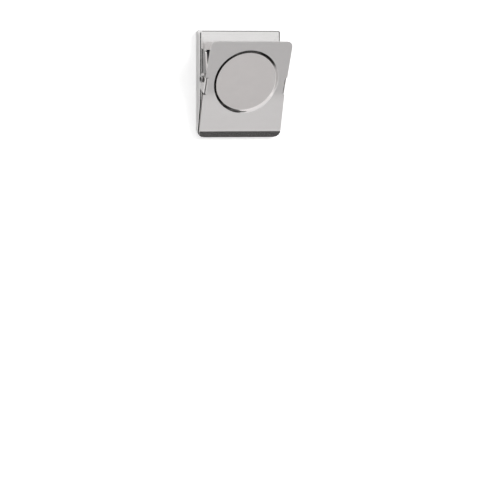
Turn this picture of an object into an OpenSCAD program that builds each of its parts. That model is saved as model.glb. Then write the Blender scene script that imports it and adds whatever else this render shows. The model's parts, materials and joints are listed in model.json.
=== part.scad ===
// Square magnetic spring clip of pressed, nickel-plated sheet steel.
// The origin lies on the flat back that meets a steel wall: X across, +Y into the wall, +Z up.
// A shallow back shell holds a block magnet. A lever with a pressed round recess swings on a pin
// that runs through the ears of both plates, and a torsion spring on the pin keeps the jaws shut.

/* [Back shell] */
// Width of the shell and of the lever
plate_w = 30; // [28:0.5:36]
// Height of the shell's top edge above the origin
shell_top = 15; // [13:0.5:18]
// Depth of the shell from its flat back to its face
shell_d = 3.8; // [3.6:0.1:4.4]
// Thickness of the shell's sheet
shell_t = 0.6; // [0.5:0.05:0.65]
// Outside radius of the shell's bends
shell_bend_r = 0.75; // [0.7:0.05:1.2]
// Outside radius of the upright edges at the shell's top corners
shell_corner_r = 1.4; // [1.1:0.1:2]
// Drop from the origin to the knee, where the face starts to slope back to the jaw
knee_drop = 8.5; // [7.5:0.25:9]
// How far the fixed jaw reaches past the line where the jaws meet
jaw_tail = 0.35; // [0.2:0.05:0.4]
// Corner radius of the fixed jaw
jaw_corner_r = 2.2; // [1:0.2:3]

/* [Shell ears] */
// Length of the shell ears' front edge, from the pin up to their top
ear_rise = 9.8; // [8:0.2:11]
// Drop of the shell ears' foot below the pin
ear_foot = 2.8; // [2:0.1:3]
// Width of the windows that the ears are cut out of
window_w = 3.6; // [3:0.1:3.8]
// Corner radius of the windows
window_corner_r = 0.5; // [0.2:0.1:1]
// Side clearance between neighbouring ears
side_gap = 0.12; // [0.1:0.01:0.2]
// Corner radius at the ears' top
ear_corner_r = 1.1; // [0.6:0.1:1.4]

/* [Lever] */
// Thickness of the lever's sheet
lever_t = 0.6; // [0.5:0.05:0.65]
// Height of the lever's top edge above the origin
lever_top = 10.9; // [10:0.1:12]
// Tilt of the lever's upper part, away from the wall
upper_tilt = 24.5; // [23.5:0.5:26]
// Tilt of the lever's lower part
lower_tilt = 16.5; // [15.5:0.5:18]
// Drop from the origin to the shallow bend between both parts
bend_drop = 7.6; // [7.4:0.1:8]
// Radius of the shallow bend
bend_r = 26; // [20:1:30]
// Drop from the origin to the fold above the lip
fold_drop = 19.9; // [19:0.1:21]
// Distance of the fold's front from the wall
fold_out = 3.3; // [3.2:0.05:3.6]
// Outside radius of the fold
fold_r = 1; // [0.8:0.1:1.5]
// Tilt of the lip
lip_tilt = 40; // [36:1:45]
// Length of the lip from the fold to its edge
lip_l = 2.7; // [2.5:0.05:2.9]
// Corner radius at the lever's top
corner_r = 1.8; // [1:0.1:3]
// Corner radius of the lip
lip_corner_r = 2.2; // [1:0.1:2.4]

/* [Recess] */
// Radius of the round recess at the middle of its wall
recess_r = 11.45; // [9:0.05:12]
// Depth of the recess below the lever's face at the recess's centre
recess_depth = 0.2; // [0.15:0.05:0.4]
// Tilt of the recess's flat floor, which lies between the tilts of the lever's two parts
recess_tilt = 23.8; // [23:0.2:24.4]
// Height of the recess's rounded wall above that centre
recess_rise = 0.9; // [0.85:0.05:1.1]
// Width of the recess's rounded wall
recess_wall = 1; // [0.6:0.1:1.4]
// Drop from the origin to the recess's centre
recess_drop = 2.9; // [2:0.1:3.1]

/* [Lever ears] */
// Radius of the ears' round back end about the pin
lever_ear_r = 1.95; // [1.7:0.05:2]
// Reach of the ears' shoulder in front of the pin
shoulder_out = 1.1; // [0.6:0.1:1.6]
// Rise of the ears' shoulder above the pin
shoulder_rise = 2.3; // [2:0.1:2.6]
// Drop of the ears' heel below the pin
heel_drop = 3.2; // [2.8:0.1:3.6]
// Drop from the origin to the upper end of the ears' root
root_drop = 1.7; // [1.5:0.1:2]
// Length of the ears' root along the lever
root_l = 5.8; // [5:0.1:5.8]
// Outside radius of the bend between the lever and its ears
ear_bend_r = 0.8; // [0.7:0.05:1]
// Width of the slits that free both ends of that bend
slit_w = 0.3; // [0.2:0.05:0.4]
// How far the slits reach past the bend into the lever
slit_in = 0.1; // [0.05:0.05:0.3]

/* [Pivot pin] */
// Radius of the pin
pin_r = 0.85; // [0.7:0.05:0.9]
// Drop of the pin below the origin
pin_drop = 1.8; // [1.7:0.1:2]
// Distance of the pin in front of the shell's face
pin_out = 2.1; // [2.1:0.05:2.2]
// Running clearance between the pin and the lever's ears
pin_running = 0.05; // [0.03:0.01:0.08]
// Clearance between the pin and the shell's ears
pin_seat = 0.02; // [0.02:0.01:0.04]
// Radius of the pin's spread heads
head_r = 1.25; // [1.1:0.05:1.5]
// Thickness of the pin's spread heads
head_t = 0.6; // [0.5:0.05:0.8]
// Radius of the hollow in each head
hollow_r = 0.6; // [0.4:0.05:0.65]
// Depth of the hollow in each head
hollow_d = 0.9; // [0.4:0.05:1.2]
// End play between the heads and the lever's ears
end_play = 0.1; // [0.05:0.01:0.2]

/* [Torsion spring] */
// Radius of the spring wire
wire_r = 0.4; // [0.3:0.05:0.4]
// Mean radius of the curls
coil_r = 1.45; // [1.35:0.05:1.5]
// Whole curls on the pin
curls = 8; // [4:1:9]
// Gap between neighbouring curls
curl_gap = 0.6; // [0.55:0.05:0.8]
// Length of the spring's legs
leg_l = 8.5; // [6:0.5:9]
// Gap between a leg's end and the plate that it presses on
leg_gap = 0.08; // [0.05:0.01:0.15]

/* [Magnet] */
// Gap between the magnet and the shell's walls
magnet_gap = 0.6; // [0.3:0.1:1.2]
// Corner radius of the magnet
magnet_corner_r = 1.2; // [0.5:0.1:2]
// Chamfer round the magnet's back face
magnet_chamfer = 0.3; // [0.1:0.05:0.5]
// Thickness of the adhesive film
glue_t = 0.15; // [0.1:0.05:0.3]
// Gap between the adhesive film and the windows
glue_gap = 0.6; // [0.3:0.1:1.5]

/* [Motion] */
// Angle that the lever turns to open the jaws
open_angle = 34; // [28:1:36]
// Gap between the ears and the lever when the jaws are fully open
stop_gap = 0.2; // [0.15:0.05:0.4]
// Gap between the shut jaws
jaw_gap = 0.06; // [0.05:0.01:0.1]

/* [Hidden] */
$fn = 64;
over = 2;
far = 60;
arc_steps = 8;
half_w = plate_w / 2;

// Side-view points are [y, z]. A sheet that tilts by t runs down along run(t) and faces front(t).
function run(t) = [sin(t), -cos(t)];
function front(t) = [-cos(t), -sin(t)];
function sweep(a, b) = [for (i = [0:arc_steps]) a + (b - a) * i / arc_steps];
function reversed(list) = [for (i = [len(list) - 1:-1:0]) list[i]];

// The lever's fold, shallow bend and top edge, all on its front face.
fold = [-fold_out, -fold_drop];
bend = fold - run(lower_tilt) * (fold_drop - bend_drop) / cos(lower_tilt);
lever_head = bend - run(upper_tilt) * (lever_top + bend_drop) / cos(upper_tilt);
fold_start = fold - run(lower_tilt) * fold_r * tan((lip_tilt - lower_tilt) / 2);
fold_centre = fold_start - front(lower_tilt) * fold_r;
bend_start = bend - run(upper_tilt) * bend_r * tan((upper_tilt - lower_tilt) / 2);
bend_centre = bend_start + front(upper_tilt) * bend_r;
lip_edge = fold + run(lip_tilt) * lip_l;
lip_contact = lip_edge - front(lip_tilt) * lever_t;
function upper_point(drop) = lever_head + run(upper_tilt) * (lever_top + drop) / cos(upper_tilt);
recess_centre = upper_point(recess_drop);
root_head = upper_point(root_drop);

// The pin, and how far the lever's back lies from it when the jaws are shut and open.
pin = [-shell_d - pin_out, -pin_drop];
lever_reach = (lever_head - pin) * front(upper_tilt) - lever_t;
open_tilt = upper_tilt - open_angle;
stop_foot = pin + front(open_tilt) * (lever_reach - stop_gap);
stop_head = stop_foot - run(open_tilt) * ear_rise;
rest_foot = pin + front(upper_tilt) * (lever_reach - stop_gap) + run(upper_tilt) * ear_foot;

// The shell's knee, and the fixed jaw that the lip's edge meets.
knee = [-shell_d, -knee_drop];
jaw_meet = lip_contact + [jaw_gap, 0];
jaw_tilt = atan2(jaw_meet[0] - knee[0], knee[1] - jaw_meet[1]);
jaw_end = jaw_meet + run(jaw_tilt) * jaw_tail;
knee_inner = knee + shell_t * [1, tan(jaw_tilt / 2)];
shell_ear_x = half_w - lever_t - side_gap;
window_x = shell_ear_x - shell_t;

// Side-view outlines of the lever's front face and of its sheet.
lever_front = concat(
    [lever_head],
    [for (t = sweep(upper_tilt, lower_tilt)) bend_centre - front(t) * bend_r],
    [for (t = sweep(lower_tilt, lip_tilt)) fold_centre + front(t) * fold_r],
    [lip_edge]);
lever_back = concat(
    [lever_head - front(upper_tilt) * lever_t],
    [for (t = sweep(upper_tilt, lower_tilt)) bend_centre - front(t) * (bend_r + lever_t)],
    [for (t = sweep(lower_tilt, lip_tilt)) fold_centre + front(t) * (fold_r - lever_t)],
    [lip_contact]);

// Extrudes a side view evenly to both sides of the middle plane.
module across(width) {
    rotate([90, 0, 90]) linear_extrude(width, center = true) children();
}

// Extrudes a side view between two distances from the middle, on both sides.
module on_both_sides(inner_x, outer_x) {
    for (side = [0, 1])
        mirror([side, 0, 0])
            translate([inner_x, 0, 0])
                rotate([90, 0, 90]) linear_extrude(outer_x - inner_x) children();
}

// Puts children on a tilted sheet: local X across, Y up along the sheet, Z out of its front.
module on_sheet(point, tilt) {
    translate([0, point[0], point[1]]) rotate([90 + tilt, 0, 0]) children();
}

// The sliver outside a quarter circle whose centre is the origin.
module corner_sliver(r) {
    difference() {
        square(r + over);
        circle(r);
    }
}

// A round-cornered rectangle between two opposite corners.
module rounded_plate(low, high, r) {
    translate([low[0] + r, low[1]]) square([high[0] - low[0] - 2 * r, high[1] - low[1]]);
    translate([low[0], low[1] + r]) square([high[0] - low[0], high[1] - low[1] - 2 * r]);
    for (x = [low[0] + r, high[0] - r], z = [low[1] + r, high[1] - r])
        translate([x, z]) circle(r);
}

// Extrudes a front view from y_front back to y_back.
module front_view(y_front, y_back) {
    translate([0, y_back, 0]) rotate([90, 0, 0]) linear_extrude(y_back - y_front) children();
}

// Slivers that round both corners of a sheet's end. The end faces up, or down where down is 1.
module end_corners(r, down) {
    for (side = [0, 1])
        mirror([side, 0, 0]) mirror([0, down, 0])
            translate([half_w - r, -r, 0])
                linear_extrude(4 * over, center = true) corner_sliver(r);
}

// Slivers that round the shell's long side edges. They meet in a mitre at the knee.
module long_edges(side, depth, r, at) {
    for (s = [0, 1]) mirror([s, 0, 0]) {
        translate([side - r, r - depth, -far]) linear_extrude(2 * far) mirror([0, 1]) corner_sliver(r);
        on_sheet(at, jaw_tilt) rotate([90, 0, 0])
            linear_extrude(2 * far, center = true) translate([side - r, -r]) corner_sliver(r);
    }
}

// A block with round edges that fills the shell's outline, set in all round by inset.
module shell_block(inset, at, extra) {
    r = shell_bend_r - inset;
    corner = shell_corner_r - inset;
    side = half_w - inset;
    top = shell_top - inset;
    depth = shell_d - inset;
    drop = at[1] - jaw_end[1] + extra;
    foot = at + [drop * tan(jaw_tilt), -drop];
    difference() {
        across(2 * side) polygon([[extra, top], [-depth, top], at, foot, [extra, foot[1]]]);
        long_edges(side, depth, r, at);
        across(plate_w + over) translate([r - depth, top - r]) mirror([1, 0]) corner_sliver(r);
        for (s = [0, 1]) mirror([s, 0, 0])
            front_view(-shell_d - over, extra + over)
                translate([side - corner, top - corner]) corner_sliver(corner);
    }
}

// Side view of a shell ear. Its front edge is the stop that the open lever comes to rest on.
module shell_ear_outline() {
    root_y = -shell_d + shell_t;
    ear_head = stop_head + front(open_tilt) * (stop_head[0] - root_y) / cos(open_tilt);
    difference() {
        polygon([[root_y, ear_head[1]], stop_head, stop_foot, rest_foot, [root_y, rest_foot[1]]]);
        translate(stop_head) rotate(open_tilt) translate([ear_corner_r, -ear_corner_r])
            mirror([1, 0]) corner_sliver(ear_corner_r);
    }
}

// Back shell: a pan with round bends, two lanced ears in front and a fixed jaw at the bottom.
module back_shell() {
    color([0.86, 0.85, 0.85]) difference() {
        union() {
            difference() {
                shell_block(0, knee, 0);
                shell_block(shell_t, knee_inner, over);
                front_view(-shell_d - over, -shell_d + shell_t + over / 4)
                    for (s = [0, 1]) mirror([s, 0])
                        rounded_plate([window_x - window_w, rest_foot[1]], [window_x, stop_head[1]],
                            window_corner_r);
                on_sheet(jaw_end, jaw_tilt) end_corners(jaw_corner_r, 1);
            }
            on_both_sides(window_x, shell_ear_x) shell_ear_outline();
        }
        on_both_sides(0, half_w) translate(pin) circle(pin_r + pin_seat);
    }
}

// Side view of a lever ear, round about the pin behind and rooted in the lever's edge in front.
module lever_ear_outline() {
    sunk = -front(upper_tilt) * lever_t / 2;
    translate(pin) circle(lever_ear_r);
    polygon([
        pin + [0, lever_ear_r],
        pin + [-shoulder_out, shoulder_rise],
        root_head + sunk,
        root_head + sunk + run(upper_tilt) * root_l,
        pin + [lever_ear_r, -heel_drop],
        pin + [lever_ear_r, 0],
        pin]);
}

// Wall of the recess as [radius, height] points, from its floor up to the lever's face.
function recess_rim(out, down) = [for (i = [0:arc_steps])
    [recess_r + out + recess_wall * (i / arc_steps - 0.5),
     recess_rise - down - (recess_rise + recess_depth) * (1 + cos(180 * i / arc_steps)) / 2]];

// Lever plate: tilted sheet with a pressed round recess, a jaw lip and two ears bent back.
module lever_plate() {
    rim = recess_r + recess_wall / 2;
    color([0.72, 0.71, 0.71]) difference() {
        union() {
            across(plate_w) polygon(concat(lever_front, reversed(lever_back)));
            intersection() {
                on_sheet(recess_centre, recess_tilt) rotate_extrude()
                    polygon(concat([[0, -recess_depth - lever_t]], recess_rim(lever_t, lever_t),
                        [[rim + lever_t, over], [0, over]]));
                across(plate_w) polygon(concat(lever_front, [[far, lip_edge[1]], [far, lever_head[1]]]));
            }
            on_both_sides(half_w - lever_t, half_w) lever_ear_outline();
        }
        on_sheet(recess_centre, recess_tilt) rotate_extrude()
            polygon(concat([[0, -recess_depth]], recess_rim(0, 0), [[rim, over], [0, over]]));
        on_sheet(lever_head, upper_tilt) end_corners(corner_r, 0);
        on_sheet(lip_edge, lip_tilt) end_corners(lip_corner_r, 1);
        on_sheet(root_head, upper_tilt) for (s = [0, 1]) mirror([s, 0, 0]) {
            rotate([90, 0, 0]) linear_extrude(root_l)
                translate([half_w - ear_bend_r, -ear_bend_r]) corner_sliver(ear_bend_r);
            for (slit = [0, -root_l - slit_w])
                translate([half_w - ear_bend_r - slit_in, slit, -lever_t - slit_in])
                    cube([ear_bend_r + over, slit_w, lever_t + over]);
        }
        on_both_sides(0, half_w + over) translate(pin) circle(pin_r + pin_running);
    }
}

// Pivot pin: a round pin with a spread, hollow head at each end.
module pivot_pin() {
    head_x = half_w + end_play;
    shank = [[0, 0], [pin_r, 0], [pin_r, head_x]];
    head = [[head_r, head_x], [head_r, head_x + head_t / 2], [(head_r + hollow_r) / 2, head_x + head_t],
        [hollow_r, head_x + head_t * 0.8], [0, head_x + head_t - hollow_d]];
    color([0.62, 0.61, 0.6]) for (side = [0, 1])
        mirror([side, 0, 0]) translate([0, pin[0], pin[1]])
            rotate([0, 90, 0]) rotate_extrude() polygon(concat(shank, head));
}

// The spring's path: a leg on the shell's face, the curls, and a leg behind the recess's floor.
curl_pitch = 2 * wire_r + curl_gap;
coil_turn = 360 * curls + 180 - recess_tilt;
coil_l = curl_pitch * coil_turn / 360;
coil_steps = ceil(coil_turn / 45);
leg_reach = (recess_centre - pin) * front(recess_tilt) - recess_depth - lever_t - leg_gap - wire_r;
front_leg_end = pin + front(recess_tilt) * leg_reach - run(recess_tilt) * leg_l;
spring_path = concat(
    [[-coil_l / 2, -shell_d - leg_gap - wire_r, pin[1] + leg_l]],
    [for (i = [0:coil_steps]) let (f = i / coil_steps, a = 180 + coil_turn * f)
        [coil_l * (f - 0.5), pin[0] - coil_r * cos(a), pin[1] + coil_r * sin(a)]],
    [[coil_l / 2, front_leg_end[0], front_leg_end[1]]]);
wire_sides = 6;
last_ring = len(spring_path) - 1;
function along(i) = spring_path[min(i + 1, last_ring)] - spring_path[max(i - 1, 0)];
function unit(v) = v / norm(v);
function wire_ring(i) = let (t = unit(along(i)), u = unit(cross(t, [1, 0, 0])), v = cross(t, u))
    [for (k = [0:wire_sides - 1]) let (a = 360 * k / wire_sides)
        spring_path[i] + wire_r * (cos(a) * u + sin(a) * v)];
wire_points = [for (i = [0:last_ring]) each wire_ring(i)];
wire_faces = [
    for (i = [0:last_ring - 1], k = [0:wire_sides - 1])
        let (a = i * wire_sides + k, b = i * wire_sides + (k + 1) % wire_sides)
            each [[a, a + wire_sides, b], [b, a + wire_sides, b + wire_sides]],
    for (k = [1:wire_sides - 2], end = [0, 1])
        let (first = end * last_ring * wire_sides)
            end == 0 ? [first, first + k, first + k + 1] : [first, first + k + 1, first + k]];
half_curl = 4;
spring_gap = min([for (i = [1:last_ring - 1], j = [1:last_ring - 1])
    if (j - i > half_curl) norm(spring_path[j] - spring_path[i])]) - 2 * wire_r;
echo(str("Least gap of the spring to itself: ", spring_gap, " mm"));

// Torsion spring: one unbroken wire wound round the pin, with a leg on each plate.
module torsion_spring() {
    color([0.55, 0.54, 0.53]) polyhedron(wire_points, wire_faces);
}

// The magnet's outline seen from the front.
magnet_low = [shell_t + magnet_gap - half_w, knee_inner[1] + magnet_gap];
magnet_high = [half_w - shell_t - magnet_gap, shell_top - shell_t - magnet_gap];
magnet_front = -shell_d + shell_t + glue_t;

// Side view of the magnet between two heights, with its back edges chamfered.
module chamfered(low, high) {
    c = magnet_chamfer;
    polygon([[magnet_front, low], [-c, low], [0, low + c], [0, high - c], [-c, high], [magnet_front, high]]);
}

// Magnet: a ferrite block set in the shell, flush with the shell's rim.
module magnet() {
    color([0.16, 0.16, 0.17]) intersection() {
        front_view(magnet_front, 0) rounded_plate(magnet_low, magnet_high, magnet_corner_r);
        across(plate_w) chamfered(magnet_low[1], magnet_high[1]);
        rotate([0, 90, 0]) across(2 * plate_w) chamfered(magnet_low[0], magnet_high[0]);
    }
}

// Adhesive film between the magnet and the inside of the shell's face.
module magnet_adhesive() {
    glue_x = window_x - window_w - glue_gap;
    color([0.8, 0.75, 0.6]) front_view(magnet_front - glue_t, magnet_front)
        rounded_plate([-glue_x, magnet_low[1] + glue_gap], [glue_x, magnet_high[1] - glue_gap], magnet_corner_r);
}

back_shell();
lever_plate();
pivot_pin();
torsion_spring();
magnet();
magnet_adhesive();
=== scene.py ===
import json
import math

import bmesh
import bpy
from mathutils import Matrix, Vector


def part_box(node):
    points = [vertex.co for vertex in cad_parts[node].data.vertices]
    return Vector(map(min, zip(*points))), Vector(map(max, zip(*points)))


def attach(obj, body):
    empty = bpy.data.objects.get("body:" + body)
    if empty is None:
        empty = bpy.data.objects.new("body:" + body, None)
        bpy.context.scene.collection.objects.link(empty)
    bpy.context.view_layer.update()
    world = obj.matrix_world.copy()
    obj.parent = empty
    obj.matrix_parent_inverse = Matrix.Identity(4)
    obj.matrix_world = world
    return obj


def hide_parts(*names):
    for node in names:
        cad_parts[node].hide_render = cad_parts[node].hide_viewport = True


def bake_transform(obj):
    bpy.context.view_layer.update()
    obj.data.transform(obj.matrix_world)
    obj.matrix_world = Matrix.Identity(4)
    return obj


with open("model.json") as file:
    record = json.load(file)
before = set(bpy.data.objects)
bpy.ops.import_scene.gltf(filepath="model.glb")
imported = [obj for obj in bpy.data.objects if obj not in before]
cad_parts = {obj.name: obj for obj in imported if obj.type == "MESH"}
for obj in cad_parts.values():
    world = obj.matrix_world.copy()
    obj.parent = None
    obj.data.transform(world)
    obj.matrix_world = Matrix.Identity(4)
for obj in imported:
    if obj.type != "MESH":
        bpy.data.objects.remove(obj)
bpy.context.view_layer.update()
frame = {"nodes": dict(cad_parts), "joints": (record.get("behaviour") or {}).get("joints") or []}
scene = bpy.context.scene
scene.view_settings.view_transform = "Standard"

# Camera: a long lens about a metre and a half away, level with the clip and a little to its left.
# The clip hangs near the top of the picture, so the lens points well below it.
MM = 0.001
view_azimuth = math.radians(-21)
view_distance = 1550 * MM
view_width = 166.7 * MM
view_right_of_clip = 1.14 * MM
view_below_clip = 57.7 * MM
view_end = 100
clip_middle_drop = 3.5 * MM
sensor = 36.0
look = Vector((-math.sin(view_azimuth), math.cos(view_azimuth), 0))
right = Vector((math.cos(view_azimuth), math.sin(view_azimuth), 0))
aim = right * view_right_of_clip - Vector((0, 0, view_below_clip))
lens = bpy.data.cameras.new("camera")
lens.sensor_width = sensor
lens.lens = sensor * view_distance / view_width
lens.clip_end = view_end
camera = bpy.data.objects.new("camera", lens)
camera.location = right * view_right_of_clip - look * view_distance - Vector((0, 0, clip_middle_drop))
camera.rotation_euler = (aim - camera.location).to_track_quat("-Z", "Y").to_euler()
scene.collection.objects.link(camera)
scene.camera = camera

# Lever: one blank of nickel-plated sheet steel, with sizes in millimetres. The blank is cut with its ears
# and bores, the round recess is pressed in, the ears are folded back, and the lip is folded for the jaw.
half_w = 15.0
lever_t = 0.6
lever_top = 10.9
lever_out = 15.374
lever_head = Vector((0, -lever_out, lever_top))
upper_tilt = math.radians(24.5)
lower_tilt = math.radians(16.5)
lip_tilt = math.radians(40)
bend_drop = 7.6
bend_r = 26.0
fold_drop = 19.9
fold_r = 1.0
lip_l = 2.7
corner_r = 1.8
lip_corner_r = 2.2
recess_r = 11.45
recess_depth = 0.2
recess_tilt = math.radians(23.8)
recess_drop = 2.9
recess_wall = 1.2
recess_wall_foot = 0.9
recess_wall_lean = 0.7
recess_round = 0.15
recess_draw = 0.5
ear_bend_r = 0.8
root_drop = 1.7
root_l = 5.8
slit_w = 0.3
slit_inset = 0.1
pin_place = Vector(frame["joints"][0]["pos_m"]) / MM
lever_bore_r = 0.9
lever_ear_r = 1.95
lever_ear_corner_r = 0.6
neck_depth = 1.2
shoulder_depth = 3.25
shoulder_rise = 2.55
toe_depth = 3.8
toe_drop = 3.72
cut_round = 0.1
round_steps = 40
corner_steps = 8
near = 0.01
touch = 1e-5
sliver = 0.002


def down(tilt):
    """Direction down a sheet that leans out at its top by that tilt."""
    return Vector((0, math.sin(tilt), -math.cos(tilt)))


def front(tilt):
    """Direction out of such a sheet's front."""
    return Vector((0, -math.cos(tilt), -math.sin(tilt)))


def everything(bm):
    """All that a bmesh holds, for the operators that take the whole of it."""
    return bm.verts[:] + bm.edges[:] + bm.faces[:]


def piece_from(bm, name):
    """Turns a bmesh in millimetres into a smooth-shaded piece in metres that sits at the origin."""
    bmesh.ops.scale(bm, vec=(MM, MM, MM), verts=bm.verts)
    mesh = bpy.data.meshes.new(name)
    bm.to_mesh(mesh)
    bm.free()
    mesh.shade_smooth()
    obj = bpy.data.objects.new(name, mesh)
    scene.collection.objects.link(obj)
    return obj


def level_flats(obj):
    """Lets each large flat face set the normals at its rim, so that flat sheet reflects as flat."""
    weighted = obj.modifiers.new("level_flats", "WEIGHTED_NORMAL")
    weighted.weight = 100
    weighted.keep_sharp = True


def outline_edges(bm, points, rounded):
    """Draws a closed flat outline in an empty bmesh, rounds its listed corners and returns its edges."""
    verts = [bm.verts.new((x, y, 0)) for x, y in points]
    bm.faces.new(verts)
    for radius, corners in rounded.items():
        bmesh.ops.bevel(bm, geom=[verts[i] for i in corners], affect="VERTICES", offset=radius,
                        segments=corner_steps, profile=0.5, material=-1)
    bmesh.ops.delete(bm, geom=bm.faces[:], context="FACES_ONLY")
    return bm.edges[:]


def round_hole(bm, centre, radius):
    """Draws a circle and returns its edges."""
    before = set(bm.edges)
    bmesh.ops.create_circle(bm, segments=round_steps, radius=radius,
                            matrix=Matrix.Translation((centre[0], centre[1], 0)))
    return [e for e in bm.edges if e not in before]


def sharp_edges(bm, least=math.radians(50)):
    """Edges where two faces meet at a clear angle."""
    return [e for e in bm.edges if len(e.link_faces) == 2 and e.calc_face_angle(0) > least]


def round_edges(bm, edges, radius, segments):
    """Rounds edges to a radius and returns the faces of the rounding."""
    return bmesh.ops.bevel(bm, geom=edges, affect="EDGES", offset=radius, segments=segments, profile=0.5,
                           material=-1, clamp_overlap=True)["faces"]


def thicken_blank(bm, thickness, edge_round, level=0.99):
    """Gives a flat blank its thickness behind the front, and rounds and marks its cut edges."""
    cut_edge = bm.faces.layers.float.new("cut_edge")
    bmesh.ops.dissolve_degenerate(bm, dist=sliver, edges=bm.edges[:])
    made = bmesh.ops.extrude_face_region(bm, geom=bm.faces[:])["geom"]
    back = [v for v in made if isinstance(v, bmesh.types.BMVert)]
    bmesh.ops.translate(bm, verts=back, vec=(0, 0, -thickness))
    bmesh.ops.recalc_face_normals(bm, faces=bm.faces[:])
    round_edges(bm, sharp_edges(bm), edge_round, segments=3)
    bm.normal_update()
    for face in bm.faces:
        face[cut_edge] = 1.0 if abs(face.normal.z) < level else 0.0


def cut_across(bm, axis, places):
    """Cuts lines across a flat blank, so that it can fold there."""
    for place in places:
        bmesh.ops.bisect_plane(bm, geom=everything(bm), dist=touch, plane_co=axis * place, plane_no=axis)


def fold_lines(start, length, steps, margin):
    """Places of the lines that a fold needs, with one more just before and after it."""
    inside = [start + length * i / steps for i in range(steps + 1)]
    return [start - margin, *inside, start + length + margin]


# The lever's run down its front face: flat, shallow bend, flat, fold and lip. Places on the blank are given
# by their distance u from its middle line and d from its top edge.
fold_reach = fold_r * math.tan((lip_tilt - lower_tilt) / 2)
bend_reach = bend_r * math.tan((upper_tilt - lower_tilt) / 2)
upper_l = (lever_top + bend_drop) / math.cos(upper_tilt) - bend_reach
lower_l = (fold_drop - bend_drop) / math.cos(lower_tilt) - bend_reach - fold_reach
bend_l = bend_r * (upper_tilt - lower_tilt)
fold_l = fold_r * (lip_tilt - lower_tilt)
lever_run = [
    (upper_l, upper_tilt, upper_tilt),
    (bend_l, upper_tilt, lower_tilt),
    (lower_l, lower_tilt, lower_tilt),
    (fold_l, lower_tilt, lip_tilt),
    (lip_l - fold_reach, lip_tilt, lip_tilt)]
lever_l = sum(length for length, _, _ in lever_run)
fold_d = upper_l + bend_l + lower_l
recess_d = (lever_top + recess_drop) / math.cos(upper_tilt)
recess_middle = lever_head + down(upper_tilt) * recess_d
root_top = (lever_top + root_drop) / math.cos(upper_tilt)
root_foot = root_top + root_l
ear_line = half_w - ear_bend_r
pin_d = (pin_place - lever_head).dot(down(upper_tilt))
pin_depth = -(pin_place - lever_head).dot(front(upper_tilt))


def lever_place(d):
    """The point and the tilt at distance d down the lever's front face."""
    point, tilt = lever_head.copy(), upper_tilt
    for length, before, after in lever_run:
        part = min(d, length)
        turn = (after - before) * part / length
        chord = part if before == after else 2 * length / (after - before) * math.sin(turn / 2)
        point += down(before + turn / 2) * chord
        tilt = before + turn
        d -= part
        if d <= 0:
            break
    return point, tilt


def recess_share(flat):
    """How far a point of the blank is pressed down: 1 on the recess's floor and 0 outside its wall."""
    radial = math.hypot(flat.x, flat.y + recess_d)
    footward = 0.5 - 0.5 * (flat.y + recess_d) / max(radial, recess_wall)
    wall = recess_wall + (recess_wall_foot - recess_wall) * footward
    rim = recess_r - recess_draw * footward ** 2
    across = min(max((radial + recess_wall_lean * flat.z - rim) / wall + 0.5, 0), 1)
    near_end = min(across, 1 - across)
    if near_end < recess_round:
        part = near_end ** 2 / (2 * recess_round * (1 - recess_round))
    else:
        part = (near_end - recess_round / 2) / (1 - recess_round)
    return 1 - part if across < 0.5 else part


def in_ear(u, d, spare):
    """Whether a point of the blank lies in an ear or its bend, or within a spare distance of that bend."""
    return u > half_w + near or (u > ear_line - spare and root_top - near < d < root_foot + near)


def fold_lever(flat):
    """Where a point of the flat blank lies once the recess is pressed and the ears and lip are folded."""
    u, d, h = abs(flat.x), -flat.y, flat.z
    point, tilt = lever_place(d)
    if in_ear(u, d, spare=0):
        turn = min((u - ear_line) / ear_bend_r, math.pi / 2)
        straight = max(0, u - ear_line - ear_bend_r * math.pi / 2)
        r = ear_bend_r + h
        h = r * math.cos(turn) - ear_bend_r - straight
        x = math.copysign(1, flat.x) * (ear_line + r * math.sin(turn))
        return point + front(tilt) * h + Vector((x, 0, 0))
    place = point + front(tilt) * h + Vector((flat.x, 0, 0))
    floor = recess_middle + down(recess_tilt) * (d - recess_d) + Vector((flat.x, 0, 0))
    floor += front(recess_tilt) * (h - recess_depth)
    return place.lerp(floor, recess_share(flat))


def ear_u(depth):
    """Distance from the middle of the flat blank that folds to this depth behind the lever's front."""
    return ear_line + ear_bend_r * (math.pi / 2 - 1) + depth


lobe_start = 65.5
lobe_step = 9
lobe_points = 11
lobe_angles = [math.radians(lobe_start - lobe_step * i) for i in range(lobe_points)]
pin_u = ear_u(pin_depth)
lobe = [(pin_u + lever_ear_r * math.cos(a), pin_d - lever_ear_r * math.sin(a)) for a in lobe_angles]
slit_u = ear_line - slit_inset
shoulder = (ear_u(shoulder_depth), pin_d - shoulder_rise)
toe = (ear_u(toe_depth), pin_d + toe_drop)
right_side = [
    (half_w, 0),
    (half_w, root_top - slit_w),
    (slit_u, root_top - slit_w),
    (slit_u, root_top),
    (ear_u(neck_depth), root_top),
    shoulder,
    *lobe,
    toe,
    (slit_u, root_foot),
    (slit_u, root_foot + slit_w),
    (half_w, root_foot + slit_w),
    (half_w, lever_l)]
left_side = [(-u, d) for u, d in reversed(right_side)]
blank_points = [(u, -d) for u, d in right_side + left_side]


def both(*corners):
    """The places in the outline of these corners of the blank's right side and of their mirror images."""
    places = [right_side.index(corner) for corner in corners]
    return [*places, *[len(blank_points) - 1 - place for place in places]]


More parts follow.
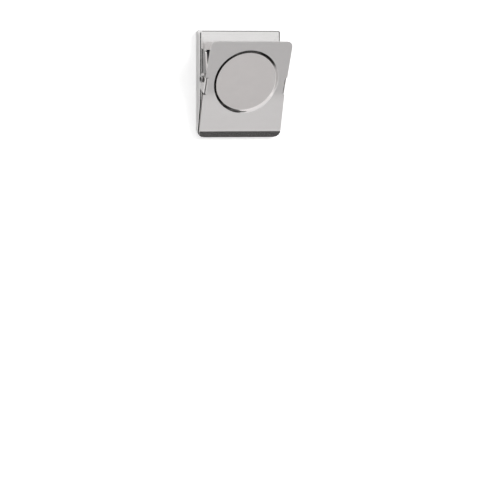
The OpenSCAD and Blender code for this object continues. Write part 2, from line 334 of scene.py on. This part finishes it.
recess_steps = 144
ring_count = 20
ring_inset = 0.5
ring_spare = 1.6
ring_start = recess_r - recess_wall / 2 - ring_inset
ring_w = recess_wall + ring_spare
recess_centre = Vector((0, -recess_d, 0))
bm = bmesh.new()
# This mark later tints the recess's floor paler, as a painted brighter reflection.
floor_light_layer = bm.verts.layers.float.new("recess_floor_light")
drawn_mark = bm.verts.layers.float.new("drawn_bright")
blank_edges = outline_edges(bm, blank_points, {
    corner_r: both(right_side[0]),
    lip_corner_r: both(right_side[-1]),
    lever_ear_corner_r: both(shoulder, toe)})
for side in (1, -1):
    blank_edges += round_hole(bm, (side * pin_u, -pin_d), lever_bore_r)
row = [bm.verts.new((ring_start + ring_w * i / ring_count, -recess_d, 0)) for i in range(ring_count + 1)]
rays = [bm.edges.new(pair) for pair in zip(row, row[1:])]
bmesh.ops.spin(bm, geom=row + rays, cent=recess_centre, axis=(0, 0, 1), dvec=(0, 0, 0),
               angle=2 * math.pi, steps=recess_steps, use_merge=True)
rims = [e for e in bm.edges if e.is_boundary]
inner_rim = [e for e in rims if (e.verts[0].co - recess_centre).length < recess_r]
outer_rim = [e for e in rims if recess_r < (e.verts[0].co - recess_centre).length < half_w]
bmesh.ops.contextual_create(bm, geom=inner_rim)
bmesh.ops.triangle_fill(bm, edges=blank_edges + outer_rim, use_beauty=True, normal=(0, 0, 1))
ear_lines = fold_lines(ear_line, ear_bend_r * math.pi / 2, steps=8, margin=0.12)
cut_across(bm, Vector((1, 0, 0)), ear_lines + [-u for u in ear_lines])
cut_across(bm, Vector((0, -1, 0)), fold_lines(upper_l, bend_l, steps=14, margin=0.3))
cut_across(bm, Vector((0, -1, 0)), fold_lines(fold_d, fold_l, steps=10, margin=0.1))
thicken_blank(bm, lever_t, cut_round)
drawn_gain = 60
drawn_spare = 0.05
for vert in bm.verts:
    share = recess_share(vert.co)
    folded = in_ear(abs(vert.co.x), -vert.co.y, drawn_spare) or -vert.co.y > fold_d
    vert[floor_light_layer] = share
    vert[drawn_mark] = 1.0 if folded else min(1.0, drawn_gain * share * (1 - share))
    vert.co = fold_lever(vert.co)
lever = piece_from(bm, "lever_pressing")
level_flats(lever)


def shader(tree, kind, values=(), links=(), **settings):
    """Adds a shader node, sets its settings and input values, and links its inputs."""
    made = tree.nodes.new(kind)
    for name, value in settings.items():
        setattr(made, name, value)
    for socket, value in dict(values).items():
        made.inputs[socket].default_value = value
    for socket, source in dict(links).items():
        tree.links.new(source, made.inputs[socket])
    return made


def new_group(name, inputs, outputs):
    """Starts a shader node group with named sockets and returns it with its input and output nodes."""
    group = bpy.data.node_groups.new(name, "ShaderNodeTree")
    for sockets, way in ((inputs, "INPUT"), (outputs, "OUTPUT")):
        for socket, kind in sockets.items():
            group.interface.new_socket(socket, in_out=way, socket_type="NodeSocket" + kind)
    return group, group.nodes.new("NodeGroupInput"), group.nodes.new("NodeGroupOutput")


def marked(tree, name):
    """The value that a mesh attribute gives each point."""
    return shader(tree, "ShaderNodeAttribute", attribute_name=name).outputs["Fac"]


def streaks(tree, turn, length, width):
    """Noise drawn out into streaks of this size in millimetres, which lie across the piece unless turned."""
    coord = shader(tree, "ShaderNodeTexCoord")
    along, across = 1 / (length * MM), 1 / (width * MM)
    laid = shader(tree, "ShaderNodeMapping", links={"Vector": coord.outputs["Object"]},
                  values={"Rotation": (0, turn, 0), "Scale": (along, across, across)})
    noise = shader(tree, "ShaderNodeTexNoise", links={"Vector": laid.outputs[0]},
                   values={"Scale": 1, "Detail": 2})
    return noise.outputs[0]


def spread(tree, value, low, high, to_low=0, to_high=1):
    """Maps a value from one range onto another and clips it there."""
    return shader(tree, "ShaderNodeMapRange", links={"Value": value}, values={
        "From Min": low, "From Max": high, "To Min": to_low, "To Max": to_high}).outputs[0]


def joined(tree, operation, first, second):
    """Joins two values by one operation."""
    return shader(tree, "ShaderNodeMath", links={0: first, 1: second}, operation=operation).outputs[0]


def sums(tree, *terms):
    """Adds up pairs of a value and its weight."""
    total = None
    for value, weight in terms:
        part = shader(tree, "ShaderNodeMath", links={0: value}, values={1: weight}, operation="MULTIPLY")
        total = part.outputs[0] if total is None else joined(tree, "ADD", total, part.outputs[0])
    return total


def mixed(tree, share, first, second):
    """Mixes two colours, each a constant or a socket. A mix node takes them at 6 and 7 and puts out at 2."""
    colours = {6: first, 7: second}
    constants = {socket: colour for socket, colour in colours.items() if isinstance(colour, tuple)}
    varying = {socket: colour for socket, colour in colours.items() if socket not in constants}
    return shader(tree, "ShaderNodeMix", values=constants, links={0: share, **varying},
                  data_type="RGBA").outputs[2]


# Plated sheet as it leaves the barrel: faint cloudy patches, brushing from the roll under the plate,
# a few hairline scratches where it was scuffed, and another tone along the cut edges. On the shell's ears
# that edge tone is a painted highlight, and in the pin's hollows it is painted shade.
noise_span = (0.3, 0.7)
cloud_tone = (0.965, 1.02)
scratch_metal = (0.55, 0.54, 0.53, 1)
scratch_show = 0.35
brush_dull = 0.025
cloud_dull = 0.02
scratch_dull = 0.12
edge_dull = 0.1
plate_finish, given, made = new_group(
    "plate_finish",
    {"Tint": "Color", "Edge Tint": "Color", "Roughness": "Float", "Edge": "Float"},
    {"Color": "Color", "Roughness": "Float", "Height": "Float"})
cloud = streaks(plate_finish, turn=0, length=7, width=5)
brushing = streaks(plate_finish, turn=0, length=5, width=0.07)
peel = streaks(plate_finish, turn=0.4, length=0.6, width=0.5)
scuffed = spread(plate_finish, streaks(plate_finish, turn=0.2, length=6, width=6), 0.45, 0.6)
hairlines = None
for turn in (0.7, -0.45, 1.9):
    line = spread(plate_finish, streaks(plate_finish, turn, length=11, width=0.06), 0.7, 0.76)
    hairlines = line if hairlines is None else joined(plate_finish, "MAXIMUM", hairlines, line)
scratches = joined(plate_finish, "MULTIPLY", hairlines, scuffed)
shade = spread(plate_finish, cloud, *noise_span, *cloud_tone)
tinted = shader(plate_finish, "ShaderNodeVectorMath", links={0: given.outputs["Tint"], "Scale": shade},
                operation="SCALE")
edged = mixed(plate_finish, given.outputs["Edge"], tinted.outputs[0], given.outputs["Edge Tint"])
worn = mixed(plate_finish, sums(plate_finish, (scratches, scratch_show)), edged, scratch_metal)
dull = sums(plate_finish,
            (given.outputs["Roughness"], 1),
            (spread(plate_finish, brushing, *noise_span, -1, 1), brush_dull),
            (spread(plate_finish, cloud, *noise_span, -1, 1), cloud_dull),
            (scratches, scratch_dull),
            (given.outputs["Edge"], edge_dull))
relief = sums(plate_finish, (brushing, 0.5), (peel, 0.5), (scratches, -0.5))
for socket, source in (("Color", worn), ("Roughness", dull), ("Height", relief)):
    plate_finish.links.new(source, made.inputs[socket])


def new_material(name):
    """Starts a material and returns it with its node tree and its Principled shader."""
    material = bpy.data.materials.new(name)
    material.use_nodes = True
    return material, material.node_tree, material.node_tree.nodes["Principled BSDF"]


def dress(tree, bsdf, colour, roughness, height, depth):
    """Gives a Principled shader its colour, its roughness and a bump of this depth in millimetres."""
    bump = shader(tree, "ShaderNodeBump", links={"Height": height},
                  values={"Strength": 1, "Distance": depth * MM})
    tree.links.new(colour, bsdf.inputs["Base Color"])
    tree.links.new(roughness, bsdf.inputs["Roughness"])
    tree.links.new(bump.outputs["Normal"], bsdf.inputs["Normal"])


def plated(name, tint, edge_tint, roughness, relief_depth):
    """A metal that carries the plated finish, and the group node in it."""
    metal, tree, bsdf = new_material(name)
    bsdf.inputs["Metallic"].default_value = 1.0
    finish = shader(tree, "ShaderNodeGroup", node_tree=plate_finish, links={"Edge": marked(tree, "cut_edge")},
                    values={"Tint": tint, "Edge Tint": edge_tint, "Roughness": roughness})
    dress(tree, bsdf, finish.outputs["Color"], finish.outputs["Roughness"], finish.outputs["Height"],
          relief_depth)
    return metal, finish


# The lever's flats are satin. The drawn wall of the recess and the folds are bright, and the recess's floor
# is tinted a little paler, a painted brighter reflection.
lever_tint = (0.745, 0.725, 0.72, 1)
floor_painted_light_tint = (0.82, 0.785, 0.775, 1)
edge_tint = (0.62, 0.61, 0.6, 1)
satin = 0.36
drawn = 0.13
lever_nickel_with_painted_floor_light, finish = plated("lever_nickel_with_painted_floor_light", lever_tint, edge_tint, satin, relief_depth=0.0008)
tree = lever_nickel_with_painted_floor_light.node_tree
sheen = spread(tree, marked(tree, "drawn_bright"), 0, 1, satin, drawn)
floor_painted_light = mixed(tree, marked(tree, "recess_floor_light"), lever_tint, floor_painted_light_tint)
tree.links.new(sheen, finish.inputs["Roughness"])
tree.links.new(floor_painted_light, finish.inputs["Tint"])
lever.data.materials.append(lever_nickel_with_painted_floor_light)
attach(lever, "lever")
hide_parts("lever_plate")

# Back shell: a shallow pan drawn from nickel-plated sheet, open at the back. Two ears are cut out of its
# face and bent forward to carry the pin, and the face slopes back below them to the fixed jaw.
shell_t = 0.6
shell_top = 15.0
shell_face = -3.8
shell_bend_r = 0.75
shell_corner_r = 0.8
knee_z = -8.5
knee_round = 1.5
jaw_tilt = math.radians(11.9)
jaw_corner_r = 2.2
jaw_cuts = 10
jaw_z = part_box("back_shell")[0].z / MM
jaw_y = shell_face + (knee_z - jaw_z) * math.tan(jaw_tilt)
side_gap = 0.12
ear_x = half_w - lever_t - side_gap
window_w = 3.6
window_x = ear_x - shell_t
window_corner_r = 0.5
ear_rise = 9.8
ear_foot = 2.8
stop_gap = 0.2
open_tilt = upper_tilt - math.radians(frame["joints"][0]["range_deg"][1])
stop_reach = pin_depth - lever_t - stop_gap
stop_foot = pin_place + front(open_tilt) * stop_reach
stop_head = stop_foot - down(open_tilt) * ear_rise
rest_foot = pin_place + front(upper_tilt) * stop_reach + down(upper_tilt) * ear_foot
flat_enough = 0.999
shell_tint = (0.78, 0.77, 0.765, 1)


def edges_where(bm, test):
    """Edges whose two ends both pass a test."""
    return [e for e in bm.edges if all(test(v.co) for v in e.verts)]


def runs_deep(edge, least=1):
    """Whether an edge runs from front to back by more than a millimetre."""
    return abs(edge.verts[0].co.y - edge.verts[1].co.y) > least


bm = bmesh.new()
corners = [(-half_w, shell_top), (half_w, shell_top), (half_w, knee_z), (-half_w, knee_z)]
face_verts = [bm.verts.new((x, shell_face, z)) for x, z in corners]
jaw_verts = [bm.verts.new((x, jaw_y, jaw_z)) for x in (half_w, -half_w)]
bm.faces.new(face_verts[::-1])
bm.faces.new([face_verts[3], face_verts[2], *jaw_verts][::-1])
round_edges(bm, [e for e in bm.edges if not e.is_boundary], knee_round, segments=4)
bends = [e for e in bm.edges if e.is_boundary and max(v.co.z for v in e.verts) > jaw_z + near]
walls = bmesh.ops.extrude_edge_only(bm, edges=bends)["geom"]
for vert in [v for v in walls if isinstance(v, bmesh.types.BMVert)]:
    vert.co.y = 0
top_edges = edges_where(bm, lambda co: co.z > shell_top - near)
round_edges(bm, [e for e in top_edges if runs_deep(e)], shell_corner_r, segments=8)
bm.normal_update()
round_edges(bm, sharp_edges(bm), shell_bend_r, segments=8)
jaw_foot = Vector((0, jaw_y, jaw_z))
for side in (1, -1):
    arc_middle = jaw_foot - down(jaw_tilt) * jaw_corner_r + Vector((side * (half_w - jaw_corner_r), 0, 0))
    for step in range(jaw_cuts):
        turn = math.radians(90 * (step + 0.5) / jaw_cuts)
        outward = Vector((side * math.cos(turn), 0, 0)) + down(jaw_tilt) * math.sin(turn)
        bmesh.ops.bisect_plane(bm, geom=everything(bm), dist=touch, clear_outer=True,
                               plane_co=arc_middle + outward * jaw_corner_r, plane_no=outward)
bm.normal_update()
face = max((f for f in bm.faces if f.normal.y < -flat_enough), key=lambda f: f.calc_area())
rim = face.edges[:]
bmesh.ops.delete(bm, geom=[face], context="FACES_ONLY")
low, high = rest_foot.z, stop_head.z
for side in (1, -1):
    left_x, right_x = sorted((side * (window_x - window_w), side * window_x))
    window_points = [(left_x, low), (right_x, low), (right_x, high), (left_x, high)]
    hole = bmesh.new()
    outline_edges(hole, window_points, {window_corner_r: range(len(window_points))})
    bmesh.ops.rotate(hole, verts=hole.verts, matrix=Matrix.Rotation(math.radians(90), 3, "X"))
    bmesh.ops.translate(hole, verts=hole.verts, vec=(0, shell_face, 0))
    window = bpy.data.meshes.new("window")
    hole.to_mesh(window)
    hole.free()
    before = set(bm.edges)
    bm.from_mesh(window)
    bpy.data.meshes.remove(window)
    rim += [e for e in bm.edges if e not in before]
bmesh.ops.triangle_fill(bm, edges=rim, use_beauty=True, normal=(0, -1, 0))
bmesh.ops.recalc_face_normals(bm, faces=bm.faces[:])
if sum(f.normal.y * f.calc_area() for f in bm.faces) > 0:
    bmesh.ops.reverse_faces(bm, faces=bm.faces[:])
cut_edge = bm.faces.layers.float.new("cut_edge")
outside = set(bm.verts)
bmesh.ops.solidify(bm, geom=bm.faces[:], thickness=shell_t)
for rim_face in bm.faces:
    outer_corners = len(outside.intersection(rim_face.verts))
    rim_face[cut_edge] = 1.0 if 0 < outer_corners < len(rim_face.verts) else 0.0
bm.normal_update()
for round_face in round_edges(bm, sharp_edges(bm), cut_round, segments=2):
    round_face[cut_edge] = 1.0
shell = piece_from(bm, "shell_pan")
level_flats(shell)
shell_nickel, _ = plated("shell_nickel", shell_tint, edge_tint, roughness=0.12, relief_depth=0.0006)
shell.data.materials.append(shell_nickel)
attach(shell, "shell")
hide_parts("back_shell")

# Shell ears: the two tongues that are bent forward out of the pan's windows. Each has a bore for the
# pin, and its long front edge is the stop for the open lever.
ear_head_corner_r = 1.1
ear_stop_corner_r = 0.8
ear_foot_corner_r = 0.5
ear_edge_round = 0.29
shell_bore_r = 0.87
root_r = 0.25
root_mid_r = root_r + shell_t / 2
root_turn = math.radians(75)
root_start = shell_face - root_r
root_y = root_start + root_mid_r * root_turn
ear_head_z = stop_head.z + (stop_head.y - root_y) * math.tan(open_tilt)
ear_points = [(root_y, ear_head_z), (stop_head.y, stop_head.z), (stop_foot.y, stop_foot.z),
              (rest_foot.y, rest_foot.z), (root_y, rest_foot.z)]
# The ears' nickel is tinted dark as painted shade, and their cut edges are tinted near white as a painted
# highlight.
ear_painted_shade_tint = (0.35, 0.345, 0.34, 1)
ear_edge_painted_highlight = (0.97, 0.96, 0.95, 1)
bm = bmesh.new()
ear_edges = outline_edges(bm, ear_points, {
    ear_head_corner_r: [1], ear_stop_corner_r: [2], ear_foot_corner_r: [3]})
ear_edges += round_hole(bm, (pin_place.y, pin_place.z), shell_bore_r)
bmesh.ops.triangle_fill(bm, edges=ear_edges, use_beauty=True, normal=(0, 0, 1))
cut_across(bm, Vector((1, 0, 0)), fold_lines(root_start, root_y - root_start, steps=6, margin=0.1)[:-2])
thicken_blank(bm, shell_t, ear_edge_round)
for vert in bm.verts:
    along, rise, h = vert.co
    turn = max(0, along - root_start) / root_mid_r
    r = root_r - h
    if turn > 0:
        along = root_start + r * math.sin(turn)
    vert.co = Vector((ear_x + root_r - r * math.cos(turn), along, rise))
bmesh.ops.mirror(bm, geom=everything(bm), axis="X", merge_dist=0)
bmesh.ops.recalc_face_normals(bm, faces=bm.faces[:])
ears = piece_from(bm, "shell_ears")
level_flats(ears)
ear_nickel_painted_shade_and_highlight, _ = plated("ear_nickel_painted_shade_and_highlight", ear_painted_shade_tint, ear_edge_painted_highlight, roughness=0.08, relief_depth=0.001)
ears.data.materials.append(ear_nickel_painted_shade_and_highlight)
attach(ears, "shell")
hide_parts("back_shell")

# Pivot pin: a turned steel pin, nickel plated. Its hollow ends are spread over the lever's ears, and the
# hollows are tinted near black inside as painted shade.
pin_r = 0.85
head_gap = 0.1
head_r = 1.25
head_x = half_w + head_gap
head_t = 0.6
rim_w = 0.4
rim_steps = 12
hollow_r = head_r - rim_w
hollow_foot_r = 0.5
hollow_depth = 0.9
hollow_x = head_x + head_t - hollow_depth
hollow_draft = 0.02
hollow_neck = 0.4
hollow_waist = 0.1
drill_point = 0.1
weld = 1e-4
pin_tint = (0.44, 0.435, 0.43, 1)
hollow_painted_shade_tint = (0.05, 0.049, 0.048, 1)
rim_angles = [math.radians(180 * i / rim_steps) for i in range(rim_steps + 1)]
rolled_rim = [(head_r - rim_w / 2 * (1 - math.sin(a)), head_x + head_t / 2 * (1 - math.cos(a)))
              for a in rim_angles]
pin_profile = [
    (pin_r, 0),
    (pin_r, head_x),
    *rolled_rim,
    (hollow_r - hollow_draft, head_x + hollow_neck),
    ((hollow_r + hollow_foot_r) / 2, head_x + hollow_waist),
    (hollow_foot_r, hollow_x),
    (0, hollow_x - drill_point)]
bm = bmesh.new()
turned = [bm.verts.new((x, 0, r)) for r, x in pin_profile]
lines = [bm.edges.new(pair) for pair in zip(turned, turned[1:])]
bmesh.ops.spin(bm, geom=turned + lines, cent=(0, 0, 0), axis=(1, 0, 0), dvec=(0, 0, 0), angle=2 * math.pi,
               steps=round_steps, use_merge=True)
bmesh.ops.mirror(bm, geom=everything(bm), axis="X", merge_dist=weld)
bmesh.ops.remove_doubles(bm, verts=bm.verts, dist=weld)
bmesh.ops.recalc_face_normals(bm, faces=bm.faces[:])
# The hollows' faces are marked for the near-black tint, which is painted shade.
hollow_shade_mark = bm.faces.layers.float.new("cut_edge")
for turned_face in bm.faces:
    _, y, z = turned_face.calc_center_median()
    turned_face[hollow_shade_mark] = 1.0 if math.hypot(y, z) < hollow_r - near else 0.0
bmesh.ops.translate(bm, verts=bm.verts, vec=pin_place)
pin = piece_from(bm, "rivet_pin")
pin_nickel_painted_hollow_shade, _ = plated("pin_nickel_painted_hollow_shade", pin_tint, hollow_painted_shade_tint, roughness=0.22, relief_depth=0.0012)
pin.data.materials.append(pin_nickel_painted_hollow_shade)
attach(pin, "shell")
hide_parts("pivot_pin")

# Torsion spring: one length of drawn spring wire wound on the pin. One leg lies on the shell's face and
# the other behind the recess, and the curls wind up as the lever opens.
wire_r = 0.4
wire_tint = (0.58, 0.57, 0.56, 1)
coil_r = 1.45
curls = 8
curl_gap = 0.6
curl_steps = 24
curl_pitch = 2 * wire_r + curl_gap
leg_l = 8.5
leg_gap = 0.08
coil_turn = 2 * math.pi * curls + math.pi - recess_tilt
coil_l = curl_pitch * coil_turn / (2 * math.pi)
coil_steps = curl_steps * curls
leg_reach = (recess_middle - pin_place).dot(front(recess_tilt)) - recess_depth - lever_t - leg_gap - wire_r
leg_front = pin_place + front(recess_tilt) * leg_reach - down(recess_tilt) * leg_l
wire_path = [Vector((-coil_l / 2, shell_face - leg_gap - wire_r, pin_place.z + leg_l))]
for step in range(coil_steps + 1):
    share = step / coil_steps
    turn = math.pi + coil_turn * share
    wire_path.append(Vector((coil_l * (share - 0.5), pin_place.y - coil_r * math.cos(turn),
                             pin_place.z + coil_r * math.sin(turn))))
wire_path.append(Vector((coil_l / 2, leg_front.y, leg_front.z)))
wire = bpy.data.curves.new("wire", "CURVE")
wire.dimensions = "3D"
wire.bevel_depth = wire_r * MM
wire.bevel_resolution = 4
wire.use_fill_caps = True
route = wire.splines.new("POLY")
route.points.add(len(wire_path) - 1)
for point, place in zip(route.points, wire_path):
    point.co = (*(place * MM), 1)
bent = bpy.data.objects.new("wire", wire)
scene.collection.objects.link(bent)
bpy.context.view_layer.update()
spring_mesh = bpy.data.meshes.new_from_object(bent.evaluated_get(bpy.context.evaluated_depsgraph_get()))
bpy.data.objects.remove(bent)
spring_mesh.shade_smooth()
spring = bpy.data.objects.new("spring_wire", spring_mesh)
scene.collection.objects.link(spring)
drawn_wire, _ = plated("drawn_wire", wire_tint, edge_tint, roughness=0.28, relief_depth=0.002)
spring_mesh.materials.append(drawn_wire)
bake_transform(spring)
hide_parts("torsion_spring")

# Magnet: a block of ferrite that fills the upper part of the pan, flush with its rim, and holds the clip to
# steel. Its sides are as fired, its back is ground, and its edges are chipped.
magnet_low, magnet_high = [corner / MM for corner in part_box("magnet")]
magnet_corner_r = 1.2
magnet_chamfer = 0.3
magnet_shine = 0.2
fired_tones = ((0.02, 0.02, 0.022, 1), (0.06, 0.06, 0.065, 1))
ground_tones = ((0.035, 0.035, 0.038, 1), (0.13, 0.13, 0.138, 1))
chip_tone = (0.15, 0.148, 0.15, 1)
bm = bmesh.new()
bmesh.ops.create_cube(bm, size=1)
bmesh.ops.scale(bm, vec=magnet_high - magnet_low, verts=bm.verts)
bmesh.ops.translate(bm, verts=bm.verts, vec=(magnet_high + magnet_low) / 2)
round_edges(bm, [e for e in bm.edges if runs_deep(e)], magnet_corner_r, segments=8)
round_edges(bm, edges_where(bm, lambda co: co.y > magnet_high.y - near), magnet_chamfer, segments=3)
chipped = bm.faces.layers.float.new("cut_edge")
pole = bm.faces.layers.float.new("pole_face")
bm.normal_update()
for block_face in bm.faces:
    block_face[pole] = 1.0 if block_face.normal.y > flat_enough else 0.0
    block_face[chipped] = 0.0 if max(abs(part) for part in block_face.normal) > flat_enough else 1.0
magnet = piece_from(bm, "magnet_block")
level_flats(magnet)
ferrite, tree, bsdf = new_material("ground_ferrite")
bsdf.inputs["Specular IOR Level"].default_value = magnet_shine
grains = streaks(tree, turn=0, length=0.12, width=0.12)
grinding = streaks(tree, turn=math.radians(90), length=6, width=0.12)
crumbs = spread(tree, streaks(tree, turn=0, length=0.5, width=0.5), 0.52, 0.6)
chips = joined(tree, "MULTIPLY", marked(tree, "cut_edge"), crumbs)
speck = sums(tree, (spread(tree, grains, 0.4, 0.75), 0.7), (spread(tree, grinding, 0.4, 0.7), 0.3))
fired = mixed(tree, speck, *fired_tones)
ground = mixed(tree, speck, *ground_tones)
block = mixed(tree, marked(tree, "pole_face"), fired, ground)
broken = mixed(tree, chips, block, chip_tone)
rough = spread(tree, grains, *noise_span, 0.42, 0.62)
pitted = sums(tree, (grains, 0.5), (grinding, 0.5), (chips, -1))
dress(tree, bsdf, broken, rough, pitted, depth=0.02)
magnet.data.materials.append(ferrite)
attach(magnet, "shell")
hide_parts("magnet")

# Adhesive: a thin cured film between the magnet and the pan, with a few trapped bubbles. The CAD solid
# stays, and only takes a better material.
film_ior = 1.5
film_tones = ((0.55, 0.5, 0.36, 1), (0.66, 0.62, 0.5, 1))
film, tree, bsdf = new_material("cured_film")
bsdf.inputs["IOR"].default_value = film_ior
bubbles = spread(tree, streaks(tree, turn=0, length=0.4, width=0.4), 0.6, 0.7)
pooled = streaks(tree, turn=0, length=4, width=3)
amber = mixed(tree, spread(tree, pooled, 0.35, 0.65), *film_tones)
dress(tree, bsdf, amber, spread(tree, pooled, *noise_span, 0.25, 0.5), bubbles, depth=0.03)
adhesive = frame["nodes"]["magnet_adhesive"]
adhesive.data.materials.clear()
adhesive.data.materials.append(film)

# Backdrop and floor: plain painted boards that stand behind and below the clip, see-through from behind so
# that they never hide it. The backdrop takes the clip's shadow but lets light through to the clip's back.
board_white = (0.8, 0.8, 0.8, 1)
board_half = 600.0
backdrop_gap = 0.2
floor_drop = 170.0
metal_glow = 0.17
boards = [
    ("wall_board", 90, (0, backdrop_gap, 0), 0.45),
    ("floor_board", 0, (0, -board_half, -floor_drop), 0.6)]


def board_paint(name, lens_glow):
    """Matt white paint with some glow of its own for the lens and for bright metal."""
    paint, tree, bsdf = new_material(name)
    tree.nodes.remove(bsdf)
    rays = shader(tree, "ShaderNodeLightPath")
    bright = sums(tree,
                  (rays.outputs["Is Camera Ray"], lens_glow),
                  (rays.outputs["Is Glossy Ray"], metal_glow),
                  (rays.outputs["Is Transmission Ray"], lens_glow))
    matt = shader(tree, "ShaderNodeBsdfDiffuse", values={"Color": board_white})
    glow = shader(tree, "ShaderNodeEmission", links={"Strength": bright})
    front_side = shader(tree, "ShaderNodeAddShader", links={0: matt.outputs[0], 1: glow.outputs[0]})
    back_side = shader(tree, "ShaderNodeBsdfTransparent")
    side = shader(tree, "ShaderNodeNewGeometry")
    mix = shader(tree, "ShaderNodeMixShader", links={
        0: side.outputs["Backfacing"], 1: front_side.outputs[0], 2: back_side.outputs[0]})
    tree.links.new(mix.outputs[0], tree.nodes["Material Output"].inputs["Surface"])
    return paint


for name, turn, place, lens_glow in boards:
    bm = bmesh.new()
    bmesh.ops.create_grid(bm, x_segments=1, y_segments=1, size=board_half)
    bmesh.ops.rotate(bm, verts=bm.verts, matrix=Matrix.Rotation(math.radians(turn), 3, "X"))
    bmesh.ops.translate(bm, verts=bm.verts, vec=place)
    board = piece_from(bm, name)
    board.data.materials.append(board_paint(name + "_paint", lens_glow))
    upright = name == "wall_board"
    board.visible_glossy = upright
    board.visible_diffuse = not upright
    board.visible_shadow = not upright

# Studio: a broad soft light in front that fades below, with cards of limited size that draw the dark lines
# along the bends of the bright plate. Angles go up from the front's horizon. A card has a tone and, across
# and by angle, the four places where its soft edges begin and end.
light_by_angle = [
    (-180, 0.5), (-100, 0.5), (-62, 0.55), (-49, 0.79), (-33, 1.14), (-14, 1.09),
    (0, 0.98), (14, 1.0), (50, 1.12), (70, 1.0), (130, 0.6), (180, 0.5)]
cards = [
    ("left_dimmer", 0.97, (-1.2, -1.1, 0.1, 0.24), (-34, -28, 50, 57)),
    ("left_low_dimmer", 0.55, (-0.6, -0.4, -0.02, 0.12), (-68, -60, -44, -34)),
    ("lip_card", 0.01, (-0.16, -0.08, 0.8, 0.88), (-104, -97, -64.5, -59)),
    ("pale_strip", 0.12, (0.2, 0.3, 0.5, 0.6), (-86, -82, -79, -77)),
    ("right_low_card", 0.006, (0.48, 0.56, 1.1, 1.2), (-72, -64, -20, -10)),
    ("right_card", 0.006, (0.4, 0.47, 0.88, 0.96), (-26, -18, 50, 57)),
    ("left_card", 0.006, (-1.2, -1.1, -0.5, -0.4), (-24, -16, 13, 19)),
    ("left_low_card", 0.006, (-1.2, -1.1, -0.36, -0.26), (-64, -56, -14, -8)),
    ("upper_card", 0.02, (0.12, 0.2, 1.1, 1.2), (50, 57, 130, 145))]
lens_white = 1.0
ramp_stops_ready = 2


def gray(tone):
    """A neutral colour."""
    return (tone, tone, tone, 1)


world = bpy.data.worlds.new("studio")
scene.world = world
world.use_nodes = True
tree = world.node_tree
coord = shader(tree, "ShaderNodeTexCoord")
split = shader(tree, "ShaderNodeSeparateXYZ", links={0: coord.outputs["Generated"]})
front_way = sums(tree, (split.outputs["Y"], -1))
angle = joined(tree, "ARCTAN2", split.outputs["Z"], front_way)
ramp = shader(tree, "ShaderNodeValToRGB", links={"Fac": spread(tree, angle, -math.pi, math.pi)})
for i, (degrees, tone) in enumerate(light_by_angle):
    place = 0.5 + degrees / 360
    stops = ramp.color_ramp.elements
    stop = stops[i] if i < ramp_stops_ready else stops.new(place)
    stop.position = place
    stop.color = gray(tone)
light = ramp.outputs["Color"]
for name, tone, across, turned in cards:
    mask = None
    for value, edges in ((split.outputs["X"], across), (angle, [math.radians(a) for a in turned])):
        out_low, in_low, in_high, out_high = edges
        for outer, inner in ((out_low, in_low), (out_high, in_high)):
            fade = shader(tree, "ShaderNodeMapRange", links={"Value": value},
                          values={"From Min": outer, "From Max": inner}, interpolation_type="SMOOTHSTEP")
            mask = fade.outputs[0] if mask is None else joined(tree, "MULTIPLY", mask, fade.outputs[0])
    light = mixed(tree, mask, light, gray(tone))
    light.node.label = name
rays = shader(tree, "ShaderNodeLightPath")
sky = mixed(tree, rays.outputs["Is Camera Ray"], light, gray(lens_white))
tree.links.new(sky, tree.nodes["Background"].inputs["Color"])

# Key light: a soft panel up to the right of the lens, which throws a faint shadow to the clip's left.
# Metal doesn't mirror it.
panel_place = Vector((700, -900, 500)) * MM
panel = bpy.data.lights.new("key_panel", "AREA")
panel.size = 500 * MM
panel.energy = 8
key = bpy.data.objects.new("key_panel", panel)
key.location = panel_place
key.rotation_euler = (-panel_place).to_track_quat("-Z", "Y").to_euler()
key.visible_glossy = False
scene.collection.objects.link(key)
